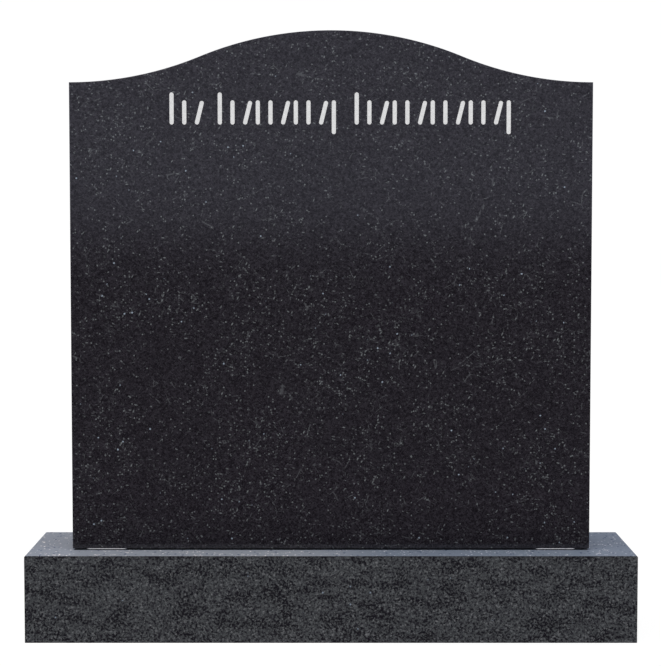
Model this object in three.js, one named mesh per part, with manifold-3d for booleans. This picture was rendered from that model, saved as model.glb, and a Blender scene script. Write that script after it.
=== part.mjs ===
// An upright granite headstone. A polished tablet with an ogee top stands on two thin setting pads,
// on a low base whose four sides are rough and whose top is honed.
// Units are millimetres, +Z is up and the front faces -Y. The origin is under the middle of the base.
import * as THREE from "three";
import { mergeVertices } from "three/addons/utils/BufferGeometryUtils.js";
import Module from "manifold-3d";

// The tablet. Its top is an ogee that falls from the crown to the shoulders.
const tabletWidth = 600;
const tabletHeight = 597;
const tabletThickness = 85;
const crownRise = 59;
const tabletArris = 2;

// The base is sized by how far it reaches past the tablet.
const baseHeight = 100;
const baseSideMargin = 50;
const baseFaceMargin = 40;
const baseArris = 1;

// Two pads, cut flush with the tablet's faces, keep a thin open joint between it and the base.
const padThickness = 2;
const padWidth = 47;
const padInFromSide = 16;

// The inscription is one row of shallow strokes with round ends, in groups like the words of a line.
const strokeWidth = 5.2;
const strokeDepth = 1.5;
const tallStroke = 37;
const shortStroke = 28;
const strokeDrop = 11;
const strokePitch = 14.5;
const strokeLean = THREE.MathUtils.degToRad(14);
const leaningEvery = 3;
const strokeGroups = [3, 10, 13];
const groupGap = 21;
const rowRightOfMiddle = 10.5;
const rowBelowShoulders = 48.5;

// How finely the curves are cut into flats.
const ogeeSegments = 14;
const strokeEndSegments = 4;

// How far a cutter reaches past the face that it cuts through.
const cutterReach = 1;

// Sizes that follow from the ones above.
const baseWidth = tabletWidth + 2 * baseSideMargin;
const baseDepth = tabletThickness + 2 * baseFaceMargin;
const shoulderHeight = tabletHeight - crownRise;

const wasm = await Module();
wasm.setup();

const polishedGranite = new THREE.MeshStandardMaterial({ color: 0x29272c, roughness: 0.12, metalness: 0 });
const roughGranite = new THREE.MeshStandardMaterial({ color: 0x37373b, roughness: 0.8, metalness: 0 });
const padPlastic = new THREE.MeshStandardMaterial({ color: 0xdddddd, roughness: 0.5, metalness: 0 });

// A closed geometry as a solid that can be joined and cut.
function solidOf(geometry) {
  const bare = geometry.clone();
  bare.deleteAttribute("normal");
  bare.deleteAttribute("uv");
  const merged = mergeVertices(bare);
  return new wasm.Manifold(
    new wasm.Mesh({
      numProp: 3,
      vertProperties: merged.attributes.position.array,
      triVerts: new Uint32Array(merged.index.array),
    }),
  );
}

// A solid as a geometry with flat facets.
function geometryOf(solid) {
  const { vertProperties, triVerts } = solid.getMesh();
  const indexed = new THREE.BufferGeometry();
  indexed.setAttribute("position", new THREE.BufferAttribute(vertProperties, 3));
  indexed.setIndex(new THREE.BufferAttribute(triVerts, 1));
  const geometry = indexed.toNonIndexed();
  geometry.computeVertexNormals();
  return geometry;
}

// A flat outline drawn as seen from the front, made a plate that reaches evenly to both sides of y = 0.
function uprightPlate(outline, thickness, options = {}) {
  const plate = new THREE.ExtrudeGeometry(outline, { depth: thickness, bevelEnabled: false, ...options });
  plate.computeBoundingBox();
  const { min, max } = plate.boundingBox;
  return plate.translate(0, 0, -(min.z + max.z) / 2).rotateX(Math.PI / 2);
}

// The outline of the tablet above its foot at 0, drawn on below the foot by the height of the arris.
// Each half of the top is two arcs of one radius, hollow over the shoulder and round over the crown,
// which meet halfway along in one tangent.
function tabletOutline() {
  const half = tabletWidth / 2;
  const radius = (half ** 2 + crownRise ** 2) / (4 * crownRise);
  const sweep = Math.asin(half / 2 / radius);
  const down = -Math.PI / 2;
  const up = Math.PI / 2;
  const outline = new THREE.Shape();
  outline.moveTo(-half, -tabletArris);
  outline.lineTo(half, -tabletArris);
  outline.lineTo(half, shoulderHeight);
  outline.absarc(half, shoulderHeight + radius, radius, down, down - sweep, true);
  outline.absarc(0, tabletHeight - radius, radius, up - sweep, up + sweep, false);
  outline.absarc(-half, shoulderHeight + radius, radius, down + sweep, down, true);
  outline.closePath();
  return outline;
}

// The tablet's slab, with an arris round its faces but not along its foot, which is sawn off square.
function tabletSlab() {
  const slab = uprightPlate(tabletOutline(), tabletThickness - 2 * tabletArris, {
    curveSegments: ogeeSegments,
    bevelEnabled: true,
    bevelThickness: tabletArris,
    bevelSize: tabletArris,
    bevelOffset: -tabletArris,
    bevelSegments: 1,
  });
  const around = 2 * cutterReach;
  const waste = new THREE.BoxGeometry(tabletWidth + around, tabletThickness + around, 2 * tabletArris);
  return solidOf(slab).subtract(solidOf(waste.translate(0, 0, -tabletArris)));
}

// One stroke seen from the front, standing on y = 0.
function strokeOutline(length) {
  const round = strokeWidth / 2;
  const outline = new THREE.Shape();
  outline.moveTo(round, round);
  outline.lineTo(round, length - round);
  outline.absarc(0, length - round, round, 0, Math.PI, false);
  outline.lineTo(-round, round);
  outline.absarc(0, round, round, Math.PI, 2 * Math.PI, false);
  outline.closePath();
  return outline;
}

function groupWidth(count) {
  return strokePitch * (count - 1) + strokeWidth;
}

// The strokes of the row from the left. A group starts with a tall stroke, every third stroke leans,
// and the last one of a long group hangs below the line.
function strokeRow() {
  const gaps = groupGap * (strokeGroups.length - 1);
  const rowWidth = strokeGroups.reduce((sum, count) => sum + groupWidth(count), gaps);
  const strokes = [];
  let left = rowRightOfMiddle - rowWidth / 2;
  for (const count of strokeGroups) {
    for (let i = 0; i < count; i += 1) {
      const hangs = i === count - 1 && count > leaningEvery;
      const drop = hangs ? strokeDrop : 0;
      strokes.push({
        x: left + strokeWidth / 2 + i * strokePitch,
        length: (i === 0 ? tallStroke : shortStroke) + drop,
        drop,
        lean: (i + 1) % leaningEvery === 0 ? strokeLean : 0,
      });
    }
    left += groupWidth(count) + groupGap;
  }
  return strokes;
}

// The tablet with its row of strokes sunk into the front face.
function makeTablet() {
  const baseline = shoulderHeight - rowBelowShoulders;
  let tablet = tabletSlab();
  for (const { x, length, drop, lean } of strokeRow()) {
    const cutter = new THREE.ExtrudeGeometry(strokeOutline(length), {
      depth: strokeDepth + cutterReach,
      curveSegments: strokeEndSegments,
      bevelEnabled: false,
    });
    cutter.rotateZ(-lean).rotateX(Math.PI / 2);
    cutter.translate(x, strokeDepth - tabletThickness / 2, baseline - drop);
    tablet = tablet.subtract(solidOf(cutter));
  }
  const mesh = new THREE.Mesh(geometryOf(tablet), polishedGranite);
  mesh.name = "tablet";
  mesh.position.z = baseHeight + padThickness;
  return mesh;
}

// The base seen from one side, with its two top corners taken off.
function baseProfile(width) {
  const half = width / 2;
  const outline = new THREE.Shape();
  outline.moveTo(-half, 0);
  outline.lineTo(half, 0);
  outline.lineTo(half, baseHeight - baseArris);
  outline.lineTo(half - baseArris, baseHeight);
  outline.lineTo(baseArris - half, baseHeight);
  outline.lineTo(-half, baseHeight - baseArris);
  outline.closePath();
  return outline;
}

// The base is what its front profile and its end profile have in common, so all four top edges of it
// have an arris.
function makeBase() {
  const fromFront = uprightPlate(baseProfile(baseWidth), baseDepth);
  const fromEnd = uprightPlate(baseProfile(baseDepth), baseWidth).rotateZ(Math.PI / 2);
  const block = solidOf(fromFront).intersect(solidOf(fromEnd));
  const mesh = new THREE.Mesh(geometryOf(block), roughGranite);
  mesh.name = "base";
  return mesh;
}

// A flat pad in the joint, near one end of the tablet.
function makePad(name, side) {
  const mesh = new THREE.Mesh(new THREE.BoxGeometry(padWidth, tabletThickness, padThickness), padPlastic);
  mesh.name = name;
  mesh.position.x = side * (tabletWidth / 2 - padInFromSide - padWidth / 2);
  mesh.position.z = baseHeight + padThickness / 2;
  return mesh;
}

const headstone = new THREE.Group();
headstone.add(makeTablet());
headstone.add(makeBase());
headstone.add(makePad("setting_pad_left", -1));
headstone.add(makePad("setting_pad_right", 1));

export default headstone;
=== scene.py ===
# %% [markdown]
# # An upright granite headstone
#
# The object is a polished tablet with an ogee top, two thin setting pads and a low base. The script
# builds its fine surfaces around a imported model, which gives every size and place in metres, with
# +Z up and the front facing -Y. Each piece is made once, named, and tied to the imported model.

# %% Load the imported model
import math

import bmesh
import bpy
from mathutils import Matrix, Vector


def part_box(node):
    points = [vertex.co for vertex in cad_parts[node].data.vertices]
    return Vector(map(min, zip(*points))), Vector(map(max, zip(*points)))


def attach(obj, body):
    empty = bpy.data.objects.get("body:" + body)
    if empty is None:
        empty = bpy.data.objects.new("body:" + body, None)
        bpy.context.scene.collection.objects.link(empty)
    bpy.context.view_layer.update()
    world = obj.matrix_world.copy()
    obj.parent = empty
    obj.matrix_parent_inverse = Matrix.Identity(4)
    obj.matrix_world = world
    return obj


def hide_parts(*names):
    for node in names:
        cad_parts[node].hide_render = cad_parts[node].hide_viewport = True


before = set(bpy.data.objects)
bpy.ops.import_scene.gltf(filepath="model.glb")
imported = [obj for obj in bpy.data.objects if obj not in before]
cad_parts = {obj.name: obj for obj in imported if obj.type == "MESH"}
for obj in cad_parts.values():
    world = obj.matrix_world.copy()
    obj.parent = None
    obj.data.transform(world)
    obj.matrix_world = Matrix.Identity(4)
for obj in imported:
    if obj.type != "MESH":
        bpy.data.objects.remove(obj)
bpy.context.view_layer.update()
tablet_low, tablet_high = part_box("tablet")
base_low, base_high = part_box("base")
print("tablet", [round(v, 4) for v in tablet_high - tablet_low])
print("base", [round(v, 4) for v in base_high - base_low])

# %% [markdown]
# ## Helpers for node trees
#
# Geometry Nodes and shaders are both trees of nodes. Three small helpers keep the trees readable:
# one adds a node with its inputs, one adds a Math node and returns its result, and one reads the
# tree's own inputs. A number sets a socket, and a socket is linked to it.

# %% Add nodes, sums and inputs
def feed(tree, socket, value):
    if isinstance(value, bpy.types.NodeSocket):
        tree.links.new(value, socket)
    else:
        socket.default_value = value


def add(tree, kind, inputs=None, **settings):
    node = tree.nodes.new(kind)
    node.location.x = 180 * len(tree.nodes)
    for name, value in settings.items():
        setattr(node, name, value)
    for name, value in (inputs or {}).items():
        feed(tree, node.inputs[name], value)
    return node


def calc(tree, operation, *values, clamp=False):
    node = add(tree, "ShaderNodeMath", operation=operation, use_clamp=clamp)
    for socket, value in zip(node.inputs, values):
        feed(tree, socket, value)
    return node.outputs[0]


def smooth(tree, value, start, end):
    """0 up to start, 1 from end on, and a smooth rise between them."""
    settings = {"Value": value, "From Min": start, "From Max": end}
    return add(tree, "ShaderNodeMapRange", settings, interpolation_type="SMOOTHSTEP").outputs[0]


def tree_inputs(tree, kind, names):
    """Makes named float inputs of a tree, and returns its input node."""
    for name, value in names.items():
        socket = tree.interface.new_socket(name, in_out="INPUT", socket_type=kind)
        socket.default_value = value
    return add(tree, "NodeGroupInput")


# %% [markdown]
# ## Helpers for pieces
#
# A Geometry Nodes tree runs as a modifier. Its inputs are set by their identifiers before Blender
# first evaluates the object. The evaluated result is then copied to a plain mesh and the modifier is
# removed, so what is kept is an ordinary closed mesh.

# %% Run a geometry tree and keep its mesh
def new_object(name, mesh):
    thing = bpy.data.objects.new(name, mesh)
    bpy.context.scene.collection.objects.link(thing)
    return thing


def geometry_tree(name, sizes):
    """A new geometry tree with a geometry input, named sizes and a geometry output."""
    tree = bpy.data.node_groups.new(name, "GeometryNodeTree")
    tree.is_modifier = True
    tree.interface.new_socket("Geometry", in_out="OUTPUT", socket_type="NodeSocketGeometry")
    tree.interface.new_socket("Geometry", in_out="INPUT", socket_type="NodeSocketGeometry")
    return tree, tree_inputs(tree, "NodeSocketFloat", sizes)


def finish_tree(tree, geometry, material):
    """Ends a geometry tree in Realize Instances and Set Material."""
    whole = add(tree, "GeometryNodeRealizeInstances", {"Geometry": geometry})
    painted = add(tree, "GeometryNodeSetMaterial", {"Geometry": whole.outputs[0], "Material": material})
    output = add(tree, "NodeGroupOutput")
    tree.links.new(painted.outputs[0], output.inputs[0])


def grow(name, tree, sizes, start=None):
    """A plain mesh object made by a geometry tree, from a starting mesh if one is given."""
    thing = new_object(name, start or bpy.data.meshes.new(name))
    modifier = thing.modifiers.new(tree.name, "NODES")
    modifier.node_group = tree
    identifiers = {s.name: s.identifier for s in tree.interface.items_tree if s.in_out == "INPUT"}
    for label, value in sizes.items():
        modifier[identifiers[label]] = value
    return bake_modifiers(thing)


def bake_modifiers(thing):
    """Turns the evaluated object into a plain mesh and removes its modifiers."""
    evaluated = thing.evaluated_get(bpy.context.evaluated_depsgraph_get())
    mesh = bpy.data.meshes.new_from_object(evaluated)
    mesh.name = thing.name
    thing.modifiers.clear()
    thing.data = mesh
    print(thing.name, len(mesh.vertices), "vertices", len(mesh.polygons), "faces")
    return thing


def shade(thing, crease):
    """Smooth shading with a sharp edge wherever two faces meet at more than the crease angle."""
    thing.data.shade_smooth()
    thing.data.set_sharp_from_angle(angle=crease)


def check_closed(thing):
    """Prints whether the mesh is closed and its volume in litres, which is negative if inside out."""
    mesh = bmesh.new()
    mesh.from_mesh(thing.data)
    open_edges = sum(1 for edge in mesh.edges if not edge.is_manifold)
    print(thing.name, "open edges", open_edges, "litres", round(mesh.calc_volume(signed=True) * 1000, 3))
    mesh.free()


# %% [markdown]
# ## The grain of the stone
#
# The tablet and the base are cut from one dark granite: a fine mosaic of near-black crystals, paler
# laths of feldspar, thin broken wisps and a few bluish sparks. It could be an image, but a photo
# of stone repeats and stretches. Voronoi cells give crystals their own shade at any scale, so one
# shader group makes masks in Object coordinates, and each finish colours them in its own way.

# %% Cells, noise, specks and wisps
def cells(tree, place, size):
    """Voronoi cells, so many per metre: the distance to a cell's middle and its two random numbers."""
    node = add(tree, "ShaderNodeTexVoronoi", {"Vector": place, "Scale": size})
    shade_of_cell = add(tree, "ShaderNodeSeparateColor", {"Color": node.outputs["Color"]})
    return node.outputs["Distance"], shade_of_cell.outputs[0], shade_of_cell.outputs[1]


def noise(tree, place, scale, detail=2.0, roughness=0.5):
    """Cloudy noise with so many clouds per metre, from 0 to 1."""
    values = {"Vector": place, "Scale": scale, "Detail": detail, "Roughness": roughness}
    return add(tree, "ShaderNodeTexNoise", values).outputs[0]


def specks(tree, place, size, share, inner, outer, least=0.3, falloff=1.0):
    """A share of the cells, picked at random, as soft round specks of uneven strength.
    The strengths run from the least to 1, and a high falloff leaves few of them near 1."""
    reach, pick, tone = cells(tree, place, size)
    picked = calc(tree, "LESS_THAN", pick, share)
    body = calc(tree, "SUBTRACT", 1.0, smooth(tree, reach, inner, outer))
    strength = calc(tree, "MULTIPLY_ADD", calc(tree, "POWER", tone, falloff), 1.0 - least, least)
    return calc(tree, "MULTIPLY", calc(tree, "MULTIPLY", picked, body), strength)


# Wisps are drawn out through the slab. They show where a noise rises from the first value to the second.
wisp_stretch = (1.0, 0.25, 1.0)
wisp_breaks = (0.57, 0.65)


def wisp(tree, place, scale, width):
    """Thin broken lines along a few of the walls between large cells, which run through the slab."""
    through = add(tree, "ShaderNodeMapping", {"Vector": place, "Scale": wisp_stretch}).outputs[0]
    values = {"Vector": through, "Scale": scale}
    wall = add(tree, "ShaderNodeTexVoronoi", values, feature="DISTANCE_TO_EDGE").outputs["Distance"]
    line = calc(tree, "SUBTRACT", 1.0, smooth(tree, wall, width * 0.3, width))
    unbroken = smooth(tree, noise(tree, place, scale * 1.7, detail=3.0, roughness=0.7), *wisp_breaks)
    return calc(tree, "MULTIPLY", line, unbroken)


def crowded(tree, crowd, extra, least):
    """A share of the cells: the least everywhere, and some extra where the crystals crowd."""
    return calc(tree, "MULTIPLY_ADD", crowd, extra, least)


# %% The kinds of crystal, their sizes and their shares
# How many cells of each kind fit along a metre, as shares of the number of fine crystals.
coarse_crystals = 0.6
round_laths = 0.58
big_laths = 0.33
long_laths = 0.82
spark_cells = 0.5

# Where a speck of each kind begins to fade and where it ends, as shares of its cell.
small_fade = (0.18, 0.52)
big_fade = (0.14, 0.46)
long_fade = (0.2, 0.6)
spark_fade = (0.16, 0.50)

# Most laths are faint and few are bright. The long ones lie in three directions.
lath_strengths = {"least": 0.16, "falloff": 2.6}
lath_turns = ((0.0, 0.5, 0.0), (0.4, 1.7, 0.3), (1.1, 2.6, 0.9))
lath_stretch = (1.0, 1.0, 2.6)

# The scale and the width of two sets of wisps, and the width of the chains of laths along the broad ones.
broad_wisps = (32.0, 0.020)
fine_wisps = (50.0, 0.030)
chain_width = 0.10

# A fine noise bends the crystals, so that no edge is quite straight.
warp_scale = 160.0
warp_strength = 0.0015

# The clouds in which laths crowd, and how much of a crystal's shade comes from the fine cells.
crowd_scale = 17.0
crowd_fade = (0.40, 0.66)
fine_share = 0.6
print("laths: least", lath_strengths["least"], "of full strength, in", len(lath_turns), "directions")


# %% Build the shader group "granite grain"
def build_grain():
    tree = bpy.data.node_groups.new("granite grain", "ShaderNodeTree")
    for name in ("Crystals", "Laths", "Sparks", "Wisps"):
        tree.interface.new_socket(name, in_out="OUTPUT", socket_type="NodeSocketFloat")
    tree.interface.new_socket("Place", in_out="INPUT", socket_type="NodeSocketVector")
    given = tree_inputs(tree, "NodeSocketFloat", {"Crystal Scale": 620.0, "Spark Share": 0.03})
    place, scale, share = given.outputs[:3]
    warp = add(tree, "ShaderNodeTexNoise", {"Vector": place, "Scale": warp_scale, "Detail": 1.0})
    shove = {0: warp.outputs["Color"], "Scale": warp_strength}
    push = add(tree, "ShaderNodeVectorMath", shove, operation="SCALE")
    bent = add(tree, "ShaderNodeVectorMath", {0: place, 1: push.outputs[0]}, operation="ADD").outputs[0]

    fine = cells(tree, place, scale)[1]
    coarse = cells(tree, bent, calc(tree, "MULTIPLY", scale, coarse_crystals))[1]
    coarse_part = calc(tree, "MULTIPLY", coarse, 1.0 - fine_share)
    crystals = calc(tree, "MULTIPLY_ADD", fine, fine_share, coarse_part)

    crowd = smooth(tree, noise(tree, place, crowd_scale, detail=4.0, roughness=0.65), *crowd_fade)
    chain = wisp(tree, bent, broad_wisps[0], chain_width)
    share_of_round = crowded(tree, chain, extra=0.4, least=crowded(tree, crowd, extra=0.24, least=0.085))
    small_scale = calc(tree, "MULTIPLY", scale, round_laths)
    small = specks(tree, bent, small_scale, share_of_round, *small_fade, **lath_strengths)
    share_of_big = crowded(tree, crowd, extra=0.036, least=0.005)
    big_scale = calc(tree, "MULTIPLY", scale, big_laths)
    big = specks(tree, bent, big_scale, share_of_big, *big_fade, **lath_strengths)
    laths = calc(tree, "MAXIMUM", small, big)
    share_of_long = crowded(tree, crowd, extra=0.044, least=0.012)
    lath_scale = calc(tree, "MULTIPLY", scale, long_laths)
    for turn in lath_turns:
        settings = {"Vector": bent, "Rotation": turn, "Scale": lath_stretch}
        turned = add(tree, "ShaderNodeMapping", settings, vector_type="TEXTURE").outputs[0]
        long = specks(tree, turned, lath_scale, share_of_long, *long_fade, **lath_strengths)
        laths = calc(tree, "MAXIMUM", laths, long)

    share_of_sparks = calc(tree, "MULTIPLY", share, crowd)
    sparks = specks(tree, bent, calc(tree, "MULTIPLY", scale, spark_cells), share_of_sparks, *spark_fade)
    wisps = calc(tree, "MAXIMUM", wisp(tree, bent, *broad_wisps), wisp(tree, bent, *fine_wisps))

    output = add(tree, "NodeGroupOutput")
    for socket, value in zip(output.inputs, (crystals, laths, sparks, wisps)):
        tree.links.new(value, socket)
    return tree


granite_grain = build_grain()
print("granite grain:", len(granite_grain.nodes), "nodes")

# %% [markdown]
# ## Three finishes of one stone
#
# Polishing closes the crystals, so the tablet is nearly black and mirrors what stands before it. Each
# crystal takes its own polish, so the weight of the clear coat over them follows the grain.
# Honing leaves a fine matt skin that scatters light, so the base's top looks pale and blue-grey.
# The base's sides are left rough: they are dull, mottled and full of small dark pits, in clusters.
# Each finish names its colours first, as linear red, green and blue.

# %% Start a material and place the grain in it
def new_material(name, roughness):
    material = bpy.data.materials.new(name)
    material.use_nodes = True
    tree = material.node_tree
    surface = tree.nodes["Principled BSDF"]
    surface.inputs["Roughness"].default_value = roughness
    surface.inputs["IOR"].default_value = 1.5
    return material, tree, surface


def object_place(tree):
    return add(tree, "ShaderNodeTexCoord").outputs["Object"]


def grain_in(tree, crystal_scale, spark_share):
    """Places the grain in a material and returns its masks by name."""
    node = add(tree, "ShaderNodeGroup", node_tree=granite_grain)
    feed(tree, node.inputs["Place"], object_place(tree))
    node.inputs["Crystal Scale"].default_value = crystal_scale
    node.inputs["Spark Share"].default_value = spark_share
    return node.outputs


def blend(tree, amount, first, second):
    """Mixes two colours, each a socket or three linear numbers."""
    node = add(tree, "ShaderNodeMix", data_type="RGBA")
    feed(tree, node.inputs["Factor"], amount)
    for socket, colour in ((node.inputs[6], first), (node.inputs[7], second)):
        feed(tree, socket, colour if isinstance(colour, bpy.types.NodeSocket) else (*colour, 1.0))
    return node.outputs[2]


def bump(tree, surface, height, distance):
    node = add(tree, "ShaderNodeBump", {"Height": height, "Distance": distance, "Strength": 1.0})
    tree.links.new(node.outputs[0], surface.inputs["Normal"])


def print_nodes(material):
    print(material.name, len(material.node_tree.nodes), "nodes")


# %% Polished granite
dark_crystal = (0.0067, 0.0055, 0.0076)
pale_crystal = (0.0295, 0.0264, 0.0331)
wisp_grey = (0.092, 0.096, 0.104)
feldspar = (0.129, 0.139, 0.145)
spark_blue = (0.42, 0.50, 0.60)
crystal_contrast = 1.5
wisp_strength = 0.5
coat_strength = 0.7
least_roughness = 0.07
roughness_spread = 0.05


def make_polished():
    material, tree, surface = new_material("polished granite", 0.1)
    grain = grain_in(tree, crystal_scale=700.0, spark_share=0.009)
    crystals, laths = grain["Crystals"], grain["Laths"]
    colour = blend(tree, calc(tree, "POWER", crystals, crystal_contrast), dark_crystal, pale_crystal)
    colour = blend(tree, calc(tree, "MULTIPLY", grain["Wisps"], wisp_strength), colour, wisp_grey)
    colour = blend(tree, laths, colour, feldspar)
    colour = blend(tree, grain["Sparks"], colour, spark_blue)
    tree.links.new(colour, surface.inputs["Base Color"])
    uneven = calc(tree, "MULTIPLY_ADD", crystals, roughness_spread, least_roughness)
    tree.links.new(uneven, surface.inputs["Roughness"])
    shine = calc(tree, "MULTIPLY", calc(tree, "MAXIMUM", crystals, laths), coat_strength)
    tree.links.new(shine, surface.inputs["Coat Weight"])
    surface.inputs["Coat Roughness"].default_value = 0.08
    surface.inputs["Specular IOR Level"].default_value = 0.34
    return material


polished_granite = make_polished()
print_nodes(polished_granite)


# %% Painted shade in the joint under the tablet
# The painted shade in the joint starts a little inside the tablet's faces, and fades in over a short way.
joint_painted_shade = (0.042, 0.038, 0.048)
shade_from_face = 0.0012
shade_fade = 0.0005


def under_tablet(tree, place):
    """1 where the base's top lies under the tablet, a little way in from the tablet's faces."""
    spot = add(tree, "ShaderNodeSeparateXYZ", {"Vector": place}).outputs
    inside = []
    for across, reach in ((spot[0], tablet_high.x), (spot[1], tablet_high.y)):
        start = reach - shade_from_face
        inside.append(smooth(tree, calc(tree, "ABSOLUTE", across), start, start - shade_fade))
    return calc(tree, "MULTIPLY", *inside)


# %% Honed granite
honed_dull = (0.262, 0.308, 0.392)
honed_pale = (0.296, 0.346, 0.438)
blue_speck = (0.040, 0.070, 0.160)
white_speck = (0.90, 0.91, 0.97)
honed_relief = 0.00005

# How many cells fit along a metre, where a speck fades in its cell, and what share of the cells is picked.
white_cells = 440.0
white_fade = (0.42, 0.58)
white_share = {"extra": 0.14, "least": 0.05}
white_crowds = 30.0
white_crowd_fade = (0.42, 0.62)
blue_cells = 330.0
blue_fade = (0.40, 0.58)
blue_share = 0.09
speck_stretch = (1.0, 0.5, 1.0)


def make_honed():
    material, tree, surface = new_material("honed granite", 0.55)
    crystals = grain_in(tree, crystal_scale=620.0, spark_share=0.0)["Crystals"]
    place = object_place(tree)
    drawn = add(tree, "ShaderNodeMapping", {"Vector": place, "Scale": speck_stretch}).outputs[0]
    crowd = smooth(tree, noise(tree, place, white_crowds), *white_crowd_fade)
    white = specks(tree, drawn, white_cells, crowded(tree, crowd, **white_share), *white_fade)
    blue = specks(tree, drawn, blue_cells, blue_share, *blue_fade)
    colour = blend(tree, crystals, honed_dull, honed_pale)
    colour = blend(tree, blue, colour, blue_speck)
    colour = blend(tree, white, colour, white_speck)
    # The base's top under the tablet is painted dark as shade in the joint.
    colour = blend(tree, under_tablet(tree, place), colour, joint_painted_shade)
    tree.links.new(colour, surface.inputs["Base Color"])
    surface.inputs["Specular IOR Level"].default_value = 0.25
    bump(tree, surface, crystals, honed_relief)
    return material


honed_granite = make_honed()
print_nodes(honed_granite)


# %% Tones of the rough sides
rough_tones = {
    0.30: (0.0120, 0.0098, 0.0160),
    0.45: (0.0468, 0.0498, 0.0548),
    0.60: (0.0600, 0.0640, 0.0695),
    0.80: (0.150, 0.152, 0.163),
}


def tone_ramp(tree, tone):
    """The colour of the rough sides for a tone from 0 to 1."""
    ramp = add(tree, "ShaderNodeValToRGB", {"Fac": tone})
    stops = ramp.color_ramp.elements
    while len(stops) < len(rough_tones):
        stops.new(1.0)
    for stop, (position, colour) in zip(stops, rough_tones.items()):
        stop.position = position
        stop.color = (*colour, 1.0)
    return ramp.outputs["Color"]


print("tones of the rough sides", len(rough_tones))

# %% Rough granite
pit_black = (0.0058, 0.0044, 0.0085)
dull_spark = (0.20, 0.24, 0.30)

# Patches of tone, and pits that gather in clusters, which lie lengthwise. A pit is where a noise is
# under a limit, and the limit rises in a cluster.
patch_scale = 340.0
cluster_scale = 26.0
cluster_stretch = (1.0, 1.0, 2.4)
cluster_fade = (0.44, 0.62)
pit_scale = 380.0
pit_limit = 0.40
pit_limit_rise = 0.08
pit_edge = 0.04
pit_darkness = 0.95
pit_depth = 0.5
crystal_tone = 0.46
rough_relief = 0.0009


def make_rough():
    material, tree, surface = new_material("rough granite", 0.85)
    grain = grain_in(tree, crystal_scale=700.0, spark_share=0.006)
    place = object_place(tree)
    patches = noise(tree, place, patch_scale, detail=4.0, roughness=0.8)
    lengthwise = add(tree, "ShaderNodeMapping", {"Vector": place, "Scale": cluster_stretch}).outputs[0]
    clusters = smooth(tree, noise(tree, lengthwise, cluster_scale, roughness=0.6), *cluster_fade)
    hollows = noise(tree, place, pit_scale, detail=2.5, roughness=0.7)
    limit = calc(tree, "MULTIPLY_ADD", clusters, pit_limit_rise, pit_limit)
    pits = smooth(tree, hollows, calc(tree, "ADD", limit, pit_edge), limit)
    mottle = calc(tree, "MULTIPLY_ADD", grain["Crystals"], crystal_tone, -crystal_tone / 2)
    tone = calc(tree, "ADD", patches, mottle)
    colour = blend(tree, calc(tree, "MULTIPLY", pits, pit_darkness), tone_ramp(tree, tone), pit_black)
    colour = blend(tree, grain["Sparks"], colour, dull_spark)
    tree.links.new(colour, surface.inputs["Base Color"])
    surface.inputs["Specular IOR Level"].default_value = 0.15
    height = calc(tree, "SUBTRACT", tone, calc(tree, "MULTIPLY", pits, pit_depth))
    bump(tree, surface, height, rough_relief)
    return material


rough_granite = make_rough()
print_nodes(rough_granite)

# %% [markdown]
# ## Enamel and pads
#
# The strokes are filled with pale enamel, which dries a little uneven, and the pads are plain
# moulded plastic. Neither is one flat colour: each has a faint cloud in its tone and its gloss, and
# the foot of the pads is painted dark as shade where they meet the base.

# %% Enamel in the strokes, and the plastic of the pads
# The colour of the painted shade at the foot of the pads, and how far over the base's top it reaches.
foot_shade = (0.020, 0.019, 0.023)
foot_shade_edge = 0.0002
foot_shade_over_base = 0.0014
cloud_fade = (0.3, 0.7)
gloss_spread = 0.2


def make_plain(name, dull, pale, roughness, cloud_scale, relief, foot_shade_height=0.0):
    """Up to a height, if one is given, the colour is painted dark as shade."""
    material, tree, surface = new_material(name, roughness)
    place = object_place(tree)
    cloud = noise(tree, place, cloud_scale, detail=3.0, roughness=0.6)
    colour = blend(tree, smooth(tree, cloud, *cloud_fade), dull, pale)
    if foot_shade_height:
        height = add(tree, "ShaderNodeSeparateXYZ", {"Vector": place}).outputs[2]
        # Painted shade at the foot, up to the given height.
        in_foot_shade = smooth(tree, height, foot_shade_height + foot_shade_edge, foot_shade_height - foot_shade_edge)
        colour = blend(tree, in_foot_shade, colour, foot_shade)
    tree.links.new(colour, surface.inputs["Base Color"])
    uneven = calc(tree, "MULTIPLY_ADD", cloud, gloss_spread, roughness - gloss_spread / 2)
    tree.links.new(uneven, surface.inputs["Roughness"])
    bump(tree, surface, cloud, relief)
    return material


enamel_tones = ((0.66, 0.66, 0.665), (0.76, 0.76, 0.765))
enamel_surface = {"roughness": 0.45, "cloud_scale": 400.0, "relief": 0.00008}
enamel = make_plain("enamel", *enamel_tones, **enamel_surface)
print_nodes(enamel)

pad_tones = ((0.94, 0.92, 0.94), (0.99, 0.97, 0.99))
pad_surface = {"roughness": 0.5, "cloud_scale": 250.0, "relief": 0.0001}
# The pads' foot is painted dark as shade up to this height.
pad_foot_shade = base_high.z + foot_shade_over_base
pad_plastic = make_plain("pad plastic", *pad_tones, **pad_surface, foot_shade_height=pad_foot_shade)
print_nodes(pad_plastic)

# %% [markdown]
# ## The tablet's slab
#
# The slab's top follows a rule: over each half, two arcs of one radius meet halfway along, one
# hollow over the shoulder and one round over the crown. A grid with one row of tall faces is bent
# to that rule by a geometry tree, then given its thickness. The same could be drawn as a curve and
# filled, but the grid keeps even steps along the ogee, which a polished edge needs.

# %% Geometry tree "ogee slab"
crown_rise = 0.059
tablet_arris = 0.002
ogee_steps = 240

# Two points closer than this are one.
same_point = 1e-6


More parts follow.
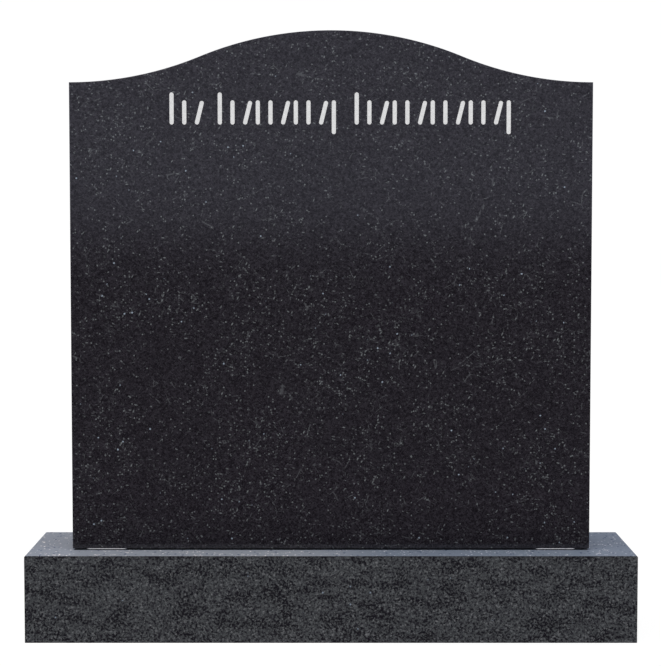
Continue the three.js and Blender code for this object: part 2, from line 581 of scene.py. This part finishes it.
def build_ogee_slab(material):
    sizes = {"Width": 1.0, "Height": 1.0, "Thickness": 0.1, "Crown Rise": 0.1, "Foot": 0.0}
    tree, given = geometry_tree("ogee slab", sizes)
    width, height, thickness, rise, foot = (given.outputs[name] for name in sizes)
    grid = add(tree, "GeometryNodeMeshGrid", {"Size X": width, "Size Y": 1.0, "Vertices Y": 2})
    grid.inputs["Vertices X"].default_value = ogee_steps + 1
    start = add(tree, "GeometryNodeInputPosition").outputs[0]
    place = add(tree, "ShaderNodeSeparateXYZ", {"Vector": start})
    across, up = place.outputs[0], calc(tree, "ADD", place.outputs[1], 0.5)

    half = calc(tree, "MULTIPLY", width, 0.5)
    radius = calc(tree, "ADD", calc(tree, "POWER", half, 2.0), calc(tree, "POWER", rise, 2.0))
    radius = calc(tree, "DIVIDE", radius, calc(tree, "MULTIPLY", rise, 4.0))
    out = calc(tree, "ABSOLUTE", across)
    near = calc(tree, "MINIMUM", out, calc(tree, "SUBTRACT", half, out))
    drop = calc(tree, "SUBTRACT", calc(tree, "POWER", radius, 2.0), calc(tree, "POWER", near, 2.0))
    sag = calc(tree, "SUBTRACT", radius, calc(tree, "SQRT", drop))
    over_crown = calc(tree, "LESS_THAN", out, calc(tree, "MULTIPLY", half, 0.5))
    rounded = calc(tree, "MULTIPLY", over_crown, calc(tree, "SUBTRACT", rise, sag))
    hollow = calc(tree, "MULTIPLY", calc(tree, "SUBTRACT", 1.0, over_crown), sag)
    top = calc(tree, "ADD", calc(tree, "SUBTRACT", height, rise), calc(tree, "ADD", rounded, hollow))

    front = calc(tree, "MULTIPLY", thickness, -0.5)
    where = {"X": across, "Y": front, "Z": calc(tree, "MULTIPLY_ADD", up, top, foot)}
    spot = add(tree, "ShaderNodeCombineXYZ", where).outputs[0]
    face = add(tree, "GeometryNodeSetPosition", {"Geometry": grid.outputs[0], "Position": spot}).outputs[0]
    back = add(tree, "ShaderNodeCombineXYZ", {"Y": thickness}).outputs[0]
    body = add(tree, "GeometryNodeExtrudeMesh", {"Mesh": face, "Offset": back, "Offset Scale": 1.0})
    body.inputs["Individual"].default_value = False
    both = add(tree, "GeometryNodeJoinGeometry")
    tree.links.new(face, both.inputs[0])
    tree.links.new(add(tree, "GeometryNodeFlipFaces", {"Mesh": body.outputs[0]}).outputs[0], both.inputs[0])
    closed = add(tree, "GeometryNodeMergeByDistance", {"Geometry": both.outputs[0], "Distance": same_point})
    finish_tree(tree, closed.outputs[0], material)
    return tree


tablet_size = tablet_high - tablet_low
slab_sizes = {
    "Width": tablet_size.x,
    "Height": tablet_size.z,
    "Thickness": tablet_size.y,
    "Crown Rise": crown_rise,
    "Foot": tablet_low.z,
}
tablet = grow("granite_tablet", build_ogee_slab(polished_granite), slab_sizes)
check_closed(tablet)


# %% Round the arris along both faces, but not along the sawn foot
def round_arris(thing, radius, steps):
    """Rounds the edges between the two faces and the ends and top, and returns how many there were."""
    mesh = bmesh.new()
    mesh.from_mesh(thing.data)
    rim = []
    for edge in mesh.edges:
        ends = [vert.co for vert in edge.verts]
        along_face = abs(ends[0].y - ends[1].y) < radius
        off_foot = max(end.z for end in ends) > tablet_low.z + radius
        square = edge.calc_face_angle(0.0) > 1.0
        if along_face and off_foot and square:
            rim.append(edge)
    shape = {"offset": radius, "segments": steps, "profile": 0.5, "affect": "EDGES", "material": -1}
    bmesh.ops.bevel(mesh, geom=rim, **shape)
    mesh.to_mesh(thing.data)
    mesh.free()
    return len(rim)


print("arris edges", round_arris(tablet, tablet_arris, steps=5))
check_closed(tablet)

# %% [markdown]
# ## The row of strokes
#
# The inscription's place holds one row of shallow strokes. Each is cut with a round-nosed tool, so
# it is a trough with round ends, and it is filled with enamel almost to the face. A stroke starts as
# a round dot whose upper half is marked. A geometry tree puts a dot at each place of the row, turns
# it and draws its upper half out to the stroke's length, so the ends stay round at any length.

# %% Where the strokes stand
stroke_width = 0.0052
stroke_depth = 0.0015
tall_stroke = 0.037
short_stroke = 0.028
stroke_drop = 0.011
stroke_pitch = 0.0145
stroke_lean = math.radians(14)
leaning_every = 3
stroke_groups = (3, 10, 13)
group_gap = 0.021
row_right_of_middle = 0.0105
row_below_shoulders = 0.0485
baseline = tablet_high.z - crown_rise - row_below_shoulders


def group_width(count):
    return stroke_pitch * (count - 1) + stroke_width


def stroke_row():
    """The strokes from the left as (x, z of the foot, length, lean)."""
    row_width = sum(group_width(n) for n in stroke_groups) + group_gap * (len(stroke_groups) - 1)
    left = row_right_of_middle - row_width / 2
    row = []
    for count in stroke_groups:
        for i in range(count):
            drop = stroke_drop if i == count - 1 and count > leaning_every else 0.0
            length = (tall_stroke if i == 0 else short_stroke) + drop
            lean = stroke_lean if (i + 1) % leaning_every == 0 else 0.0
            row.append((left + stroke_width / 2 + i * stroke_pitch, baseline - drop, length, lean))
        left += group_width(count) + group_gap
    return row


def row_mesh():
    """One vertex for each stroke at the middle of its lower round end, with its reach and its lean."""
    row = stroke_row()
    face = tablet_low.y
    mesh = bpy.data.meshes.new("stroke_row")
    mesh.from_pydata([(x, face, z + stroke_width / 2) for x, z, length, lean in row], [], [])
    reach = mesh.attributes.new("reach", "FLOAT", "POINT")
    reach.data.foreach_set("value", [length - stroke_width for x, z, length, lean in row])
    lean_of = mesh.attributes.new("lean", "FLOAT", "POINT")
    lean_of.data.foreach_set("value", [lean for x, z, length, lean in row])
    return mesh


print("strokes", len(stroke_row()))


# %% A dot with a marked upper half, turned from a section
def stroke_dot(name, section, around=24):
    """A closed round mesh about the Y axis from (radius, depth) points, outer side first.
    The points on its waist are doubled, so that its upper half can be drawn away from its lower."""
    turns = [math.pi + math.pi * i / (around // 2) for i in range(around // 2 + 1)]
    turns = [(turn, 0.0) for turn in turns] + [(turn + math.pi, 1.0) for turn in turns]
    points, upper = [], []
    for radius, depth in section:
        for turn, half in turns:
            points.append((radius * math.cos(turn), depth, radius * math.sin(turn)))
            upper.append(half)
    count = len(turns)
    faces = []
    for ring in range(len(section) - 1):
        for i in range(count):
            j = (i + 1) % count
            near, far = ring * count, (ring + 1) * count
            faces.append([near + i, far + i, far + j, near + j])
    mesh = bpy.data.meshes.new(name)
    mesh.from_pydata(points, [], faces)
    mark = mesh.attributes.new("upper", "FLOAT", "POINT")
    mark.data.foreach_set("value", upper)
    return new_object(name, mesh)


tool_radius = (stroke_width**2 / 4 + stroke_depth**2) / (2 * stroke_depth)
cutter_reach = 0.001
enamel_clearance = 0.00003
enamel_sink = 0.00025
enamel_dish = 0.00035


def trough_depth(out, clearance=0.0):
    """How deep the round-nosed tool cuts at a distance from the stroke's middle line."""
    return math.sqrt((tool_radius - clearance) ** 2 - out**2) - (tool_radius - stroke_depth)


def cutter_section(steps=8):
    """The tool's trough, and above the face a straight part that clears it."""
    half = stroke_width / 2
    section = [(0.0, -cutter_reach), (half, -cutter_reach)]
    for i in range(steps + 1):
        out = half * math.cos(math.pi / 2 * i / steps)
        section.append((out, trough_depth(out)))
    return section


def enamel_section(steps=8):
    """The enamel hugs the trough and dries to a shallow dish a little under the face."""
    rim_drop = tool_radius - stroke_depth + enamel_sink
    edge = math.sqrt((tool_radius - enamel_clearance) ** 2 - rim_drop**2)
    outs = [edge * math.sin(math.pi / 2 * i / steps) for i in range(steps + 1)]
    top = [(out, enamel_sink + enamel_dish * (1 - (out / edge) ** 2)) for out in outs]
    under = [(out, trough_depth(out, enamel_clearance)) for out in reversed(outs[:-1])]
    return top + under


# %% Geometry tree "stroke row"
def build_stroke_row(name, dot, material):
    tree, given = geometry_tree(name, {"Merge Distance": same_point})
    shape = add(tree, "GeometryNodeObjectInfo")
    shape.inputs["Object"].default_value = dot
    lean = add(tree, "GeometryNodeInputNamedAttribute", {"Name": "lean"}, data_type="FLOAT").outputs[0]
    turn = add(tree, "ShaderNodeCombineXYZ", {"Y": lean}).outputs[0]
    places = {"Points": given.outputs[0], "Instance": shape.outputs["Geometry"]}
    placed = add(tree, "GeometryNodeInstanceOnPoints", places)
    feed(tree, placed.inputs["Rotation"], turn)
    whole = add(tree, "GeometryNodeRealizeInstances", {"Geometry": placed.outputs[0]}).outputs[0]

    upper = add(tree, "GeometryNodeInputNamedAttribute", {"Name": "upper"}, data_type="FLOAT").outputs[0]
    reach = add(tree, "GeometryNodeInputNamedAttribute", {"Name": "reach"}, data_type="FLOAT").outputs[0]
    pull = calc(tree, "MULTIPLY", upper, reach)
    sideways = calc(tree, "MULTIPLY", pull, calc(tree, "SINE", lean))
    upwards = calc(tree, "MULTIPLY", pull, calc(tree, "COSINE", lean))
    offset = add(tree, "ShaderNodeCombineXYZ", {"X": sideways, "Z": upwards}).outputs[0]
    drawn = add(tree, "GeometryNodeSetPosition", {"Geometry": whole, "Offset": offset}).outputs[0]
    merge = {"Geometry": drawn, "Distance": given.outputs["Merge Distance"]}
    finish_tree(tree, add(tree, "GeometryNodeMergeByDistance", merge).outputs[0], material)
    return tree


def make_strokes(name, section, material):
    dot = stroke_dot(name + "_dot", section)
    merge = {"Merge Distance": 2 * same_point}
    strokes = grow(name, build_stroke_row(name, dot, material), merge, row_mesh())
    bpy.data.objects.remove(dot)
    check_closed(strokes)
    return strokes


cutters = make_strokes("stroke_cutters", cutter_section(), polished_granite)
inscription = make_strokes("inscription_enamel", enamel_section(), enamel)


# %% Cut the troughs into the tablet
def cut(thing, cutter):
    modifier = thing.modifiers.new("troughs", "BOOLEAN")
    modifier.operation = "DIFFERENCE"
    modifier.solver = "EXACT"
    modifier.object = cutter
    bake_modifiers(thing)
    bpy.data.objects.remove(cutter)


cut(tablet, cutters)
check_closed(tablet)
shade(tablet, crease=math.radians(32))
shade(inscription, crease=math.radians(40))
tablet.modifiers.new("flat faces stay flat", "WEIGHTED_NORMAL").keep_sharp = True

# %% [markdown]
# ## The base
#
# The base is a block whose sides are rough and whose top is honed flat between crisp arrises. A
# subdivided cube would spend most of its faces on the flat top. A cylinder whose rings are bent to
# a rectangle has fine faces only on its sides, and one flat face at each end. The tree pushes the
# sides in by two scales of noise, and lets them out to the straight edges again.

# %% Two sums that bend a ring to a rectangle
def wave(tree, place, shift, perimeter):
    """Rises and falls evenly along the perimeter, from minus to plus a quarter of it."""
    turned = calc(tree, "WRAP", calc(tree, "ADD", place, shift), perimeter, 0.0)
    folded = calc(tree, "ABSOLUTE", calc(tree, "SUBTRACT", turned, calc(tree, "MULTIPLY", perimeter, 0.5)))
    return calc(tree, "SUBTRACT", folded, calc(tree, "MULTIPLY", perimeter, 0.25))


def held(tree, value, limit):
    """Keeps a value between minus and plus a limit."""
    return calc(tree, "MAXIMUM", calc(tree, "MINIMUM", value, limit), calc(tree, "MULTIPLY", limit, -1.0))


# %% Geometry tree "rough block"
# The noise of broad hollows and of small chips, and where each begins and is deepest in its noise.
broad_scale = 60.0
broad_depths = (0.75, 0.25)
chip_scale = 170.0
chip_depths = (0.60, 0.36)


def build_rough_block(around, levels, side_material, top_material):
    sizes = {"Width": 1.0, "Depth": 1.0, "Height": 1.0, "Arris": 0.001, "Relief": 0.001, "Straight": 0.004}
    tree, given = geometry_tree("rough block", sizes)
    width, depth, height, arris, relief, straight = (given.outputs[name] for name in sizes)
    rings = {"Vertices": around, "Side Segments": levels, "Radius": 1.0, "Depth": 1.0}
    tube = add(tree, "GeometryNodeMeshCylinder", rings, fill_type="NGON")
    start = add(tree, "GeometryNodeInputPosition").outputs[0]
    spot = add(tree, "ShaderNodeSeparateXYZ", {"Vector": start})
    level = calc(tree, "ADD", spot.outputs[2], 0.5)
    is_top = calc(tree, "GREATER_THAN", level, 1 - 0.5 / levels)

    index = add(tree, "GeometryNodeInputIndex").outputs[0]
    share = calc(tree, "DIVIDE", calc(tree, "MODULO", index, float(around)), float(around))
    half_x, half_y = calc(tree, "MULTIPLY", width, 0.5), calc(tree, "MULTIPLY", depth, 0.5)
    perimeter = calc(tree, "MULTIPLY", calc(tree, "ADD", width, depth), 2.0)
    along = calc(tree, "MULTIPLY", calc(tree, "MULTIPLY", share, perimeter), -1.0)
    along = calc(tree, "SUBTRACT", along, half_y)
    inset = calc(tree, "MULTIPLY", is_top, arris)
    across = wave(tree, along, 0.0, perimeter)
    inward = wave(tree, along, calc(tree, "MULTIPLY", perimeter, 0.25), perimeter)
    x = held(tree, held(tree, across, half_x), calc(tree, "SUBTRACT", half_x, inset))
    y = held(tree, held(tree, inward, half_y), calc(tree, "SUBTRACT", half_y, inset))
    wall = calc(tree, "SUBTRACT", height, arris)
    climb = calc(tree, "MINIMUM", calc(tree, "MULTIPLY", level, levels / (levels - 1)), 1.0)
    z = calc(tree, "MULTIPLY_ADD", climb, wall, inset)
    where = add(tree, "ShaderNodeCombineXYZ", {"X": x, "Y": y, "Z": z}).outputs[0]
    block = add(tree, "GeometryNodeSetPosition", {"Geometry": tube.outputs[0], "Position": where}).outputs[0]

    place = add(tree, "GeometryNodeInputPosition").outputs[0]
    now = add(tree, "ShaderNodeSeparateXYZ", {"Vector": place})
    to_end = calc(tree, "SUBTRACT", half_x, calc(tree, "ABSOLUTE", now.outputs[0]))
    to_face = calc(tree, "SUBTRACT", half_y, calc(tree, "ABSOLUTE", now.outputs[1]))
    to_corner = calc(tree, "MAXIMUM", to_end, to_face)
    to_rim = calc(tree, "MINIMUM", now.outputs[2], calc(tree, "SUBTRACT", wall, now.outputs[2]))
    free = smooth(tree, calc(tree, "MINIMUM", to_corner, to_rim), 0.0, straight)
    broad = noise(tree, place, broad_scale, detail=3.0, roughness=0.55)
    chips = noise(tree, place, chip_scale, detail=4.0, roughness=0.62)
    push = calc(tree, "ADD", smooth(tree, broad, *broad_depths), smooth(tree, chips, *chip_depths))
    depth_here = calc(tree, "MULTIPLY", calc(tree, "MULTIPLY", push, relief), free)
    facing = add(tree, "GeometryNodeInputNormal").outputs[0]
    shift = {0: facing, "Scale": calc(tree, "MULTIPLY", depth_here, -1.0)}
    offset = add(tree, "ShaderNodeVectorMath", shift, operation="SCALE").outputs[0]
    worn = add(tree, "GeometryNodeSetPosition", {"Geometry": block, "Offset": offset}).outputs[0]

    whole = add(tree, "GeometryNodeRealizeInstances", {"Geometry": worn}).outputs[0]
    sides = add(tree, "GeometryNodeSetMaterial", {"Geometry": whole, "Material": side_material}).outputs[0]
    up = add(tree, "ShaderNodeSeparateXYZ", {"Vector": facing}).outputs[2]
    upward = calc(tree, "GREATER_THAN", up, 0.9)
    flat_level = calc(tree, "GREATER_THAN", now.outputs[2], calc(tree, "SUBTRACT", wall, 0.0001))
    honed = calc(tree, "MULTIPLY", upward, flat_level)
    top = {"Geometry": sides, "Material": top_material, "Selection": honed}
    output = add(tree, "NodeGroupOutput")
    tree.links.new(add(tree, "GeometryNodeSetMaterial", top).outputs[0], output.inputs[0])
    return tree


# %% Make the base
# The sides have three faces to every 5 mm, so the number of faces follows from the base's size.
facet = 0.005 / 3
base_size = base_high - base_low
base_around = 2 * (round(base_size.x / facet) + round(base_size.y / facet))
base_levels = round(base_size.z / facet)
base_arris = 0.001
relief_depth = 0.0011
straight_margin = 0.004
block_sizes = {
    "Width": base_size.x,
    "Depth": base_size.y,
    "Height": base_size.z,
    "Arris": base_arris,
    "Relief": relief_depth,
    "Straight": straight_margin,
}
block_tree = build_rough_block(base_around, base_levels, rough_granite, honed_granite)
base = grow("granite_base", block_tree, block_sizes)
shade(base, crease=math.radians(38))
check_closed(base)

# %% [markdown]
# ## The setting pads
#
# Two thin plastic pads keep the joint open while the stone is set. They are the same moulding
# twice, so one geometry tree fills a rounded outline, thickens it and puts it at both places.

# %% Geometry tree "setting pads"
def build_pads(material):
    sizes = {"Width": 0.05, "Depth": 0.05, "Thickness": 0.002, "Corner": 0.004}
    tree, given = geometry_tree("setting pads", sizes)
    width, depth, thickness, corner = (given.outputs[name] for name in sizes)
    outline = add(tree, "GeometryNodeCurvePrimitiveQuadrilateral", {"Width": width, "Height": depth})
    rounded = {"Curve": outline.outputs[0], "Radius": corner, "Count": 6}
    rounded = add(tree, "GeometryNodeFilletCurve", rounded, mode="POLY")
    sheet = add(tree, "GeometryNodeFillCurve", {"Curve": rounded.outputs[0]}, mode="NGONS").outputs[0]
    lift = add(tree, "ShaderNodeCombineXYZ", {"Z": thickness}).outputs[0]
    plate = add(tree, "GeometryNodeExtrudeMesh", {"Mesh": sheet, "Offset": lift, "Offset Scale": 1.0})
    plate.inputs["Individual"].default_value = False
    both = add(tree, "GeometryNodeJoinGeometry")
    tree.links.new(plate.outputs[0], both.inputs[0])
    tree.links.new(add(tree, "GeometryNodeFlipFaces", {"Mesh": sheet}).outputs[0], both.inputs[0])
    closed = add(tree, "GeometryNodeMergeByDistance", {"Geometry": both.outputs[0], "Distance": same_point})
    placed = {"Points": given.outputs[0], "Instance": closed.outputs[0]}
    finish_tree(tree, add(tree, "GeometryNodeInstanceOnPoints", placed).outputs[0], material)
    return tree


pad_nodes = ("setting_pad_left", "setting_pad_right")
pad_boxes = [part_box(node) for node in pad_nodes]
pad_size = pad_boxes[0][1] - pad_boxes[0][0]
pad_corner = 0.004
pad_places = bpy.data.meshes.new("pad_places")
pad_spots = [((low.x + high.x) / 2, (low.y + high.y) / 2, low.z) for low, high in pad_boxes]
pad_places.from_pydata(pad_spots, [], [])
pad_sizes = {"Width": pad_size.x, "Depth": pad_size.y, "Thickness": pad_size.z, "Corner": pad_corner}
pads = grow("setting_pads", build_pads(pad_plastic), pad_sizes, pad_places)
check_closed(pads)

# %% [markdown]
# ## Tie the pieces to the imported model
#
# Nothing on a headstone moves, so every piece rides on the one body, and the three stone and
# plastic pieces stand for the imported ones.

# %% Ride on the body and replace the imported pieces
fittings = (
    (tablet, ["tablet"], "polished_granite"),
    (base, ["base"], "rough_granite"),
    (pads, list(pad_nodes), "pad_plastic"),
    (inscription, [], "inscription_enamel"),
)
for piece, nodes, slot in fittings:
    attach(piece, "root")
    if nodes:
        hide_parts(*nodes)
    print(piece.name, "stands for", nodes)

# %% [markdown]
# ## Floor, light and camera
#
# The stone is lit as in a white studio: an even light from all round and a white floor. What the
# polished face mirrors is a cool sky over a dark ground, which is why its upper half is paler. One
# warm light straight above the left half makes that side of the base's top paler than the right.

# %% A pale floor that the polished stone mirrors as dark ground
sky_left = (0.475, 0.500, 0.615)
sky_right = (0.43, 0.455, 0.57)
ground = (0.040, 0.038, 0.050)
floor_glow = 1.15
glow_share = 0.8


def make_floor(size=30.0):
    mesh = bpy.data.meshes.new("floor")
    corners = ((-size, -size), (size, -size), (size, size), (-size, size))
    mesh.from_pydata([(x, y, 0.0) for x, y in corners], [], [(0, 1, 2, 3)])
    floor = new_object("floor", mesh)
    material = bpy.data.materials.new("pale floor")
    material.use_nodes = True
    tree = material.node_tree
    tree.nodes.clear()
    matt = add(tree, "ShaderNodeBsdfDiffuse", {"Color": (0.9, 0.9, 0.9, 1.0)}).outputs[0]
    glow = add(tree, "ShaderNodeEmission", {"Color": (1.0, 1.0, 1.0, 1.0), "Strength": floor_glow}).outputs[0]
    dark = add(tree, "ShaderNodeEmission", {"Color": (*ground, 1.0), "Strength": 1.0}).outputs[0]
    pale = add(tree, "ShaderNodeMixShader", {"Fac": glow_share, 1: matt, 2: glow}).outputs[0]
    is_glossy = add(tree, "ShaderNodeLightPath").outputs["Is Glossy Ray"]
    seen = add(tree, "ShaderNodeMixShader", {"Fac": is_glossy, 1: pale, 2: dark}).outputs[0]
    tree.links.new(seen, add(tree, "ShaderNodeOutputMaterial").inputs["Surface"])
    mesh.materials.append(material)


make_floor()
print("floor: dark ground in the polish", ground)


# %% The world: white to the camera, a horizon in the polish
# Each pair is where a change in the light starts and ends, along X, Y or Z of the direction looked in.
left_to_right = (-0.6, 0.6)
front_to_back = (-0.1, 0.4)
horizon = (-0.037, 0.012)

# Full light from in front, little from behind, and a backdrop just past white.
light_in_front = (1.0, 1.0, 1.0)
light_behind = (0.15, 0.15, 0.15)
backdrop = (1.02, 1.02, 1.02)


def make_world():
    world = bpy.data.worlds.new("studio")
    world.use_nodes = True
    bpy.context.scene.world = world
    tree = world.node_tree
    tree.nodes.clear()
    towards = add(tree, "ShaderNodeTexCoord").outputs["Generated"]
    heading = add(tree, "ShaderNodeSeparateXYZ", {"Vector": towards})
    sky = blend(tree, smooth(tree, heading.outputs[0], *left_to_right), sky_left, sky_right)
    mirrored = blend(tree, smooth(tree, heading.outputs[2], *horizon), ground, sky)
    rays = add(tree, "ShaderNodeLightPath")
    behind = smooth(tree, heading.outputs[1], *front_to_back)
    studio = blend(tree, behind, light_in_front, light_behind)
    colour = blend(tree, rays.outputs["Is Glossy Ray"], studio, mirrored)
    colour = blend(tree, rays.outputs["Is Camera Ray"], colour, backdrop)
    light = add(tree, "ShaderNodeBackground", {"Color": colour, "Strength": 1.0}).outputs[0]
    tree.links.new(light, add(tree, "ShaderNodeOutputWorld").inputs["Surface"])


make_world()
print("sky: from", sky_left, "to", sky_right)


# %% One warm light from above the left half
lamp_place = (-0.35, -0.07, 2.0)
lamp_power = 43.0
lamp_colour = (1.0, 0.76, 0.51)
lamp_cone = math.radians(24)
lamp_radius = 0.05
lamp_edge = 0.3


def make_left_light():
    lamp = bpy.data.lights.new("left light", "SPOT")
    lamp.shadow_soft_size = lamp_radius
    lamp.energy = lamp_power
    lamp.color = lamp_colour
    lamp.spot_size = lamp_cone
    lamp.spot_blend = lamp_edge
    thing = bpy.data.objects.new("left light", lamp)
    bpy.context.scene.collection.objects.link(thing)
    thing.location = lamp_place
    thing.visible_glossy = False
    thing.visible_camera = False


make_left_light()
print("left light:", lamp_power, "W from", lamp_place)

# %% The camera
camera_place = (-0.00056, -2.21524, 0.48893)
camera_pitch = math.radians(3.5915)
camera_view = math.radians(20)


def make_camera():
    lens = bpy.data.cameras.new("camera")
    lens.sensor_fit = "AUTO"
    lens.angle = camera_view
    camera = bpy.data.objects.new("camera", lens)
    bpy.context.scene.collection.objects.link(camera)
    camera.location = camera_place
    camera.rotation_euler = (math.pi / 2 - camera_pitch, 0.0, 0.0)
    bpy.context.scene.camera = camera
    bpy.context.scene.view_settings.view_transform = "Standard"


make_camera()
print("camera at", camera_place)
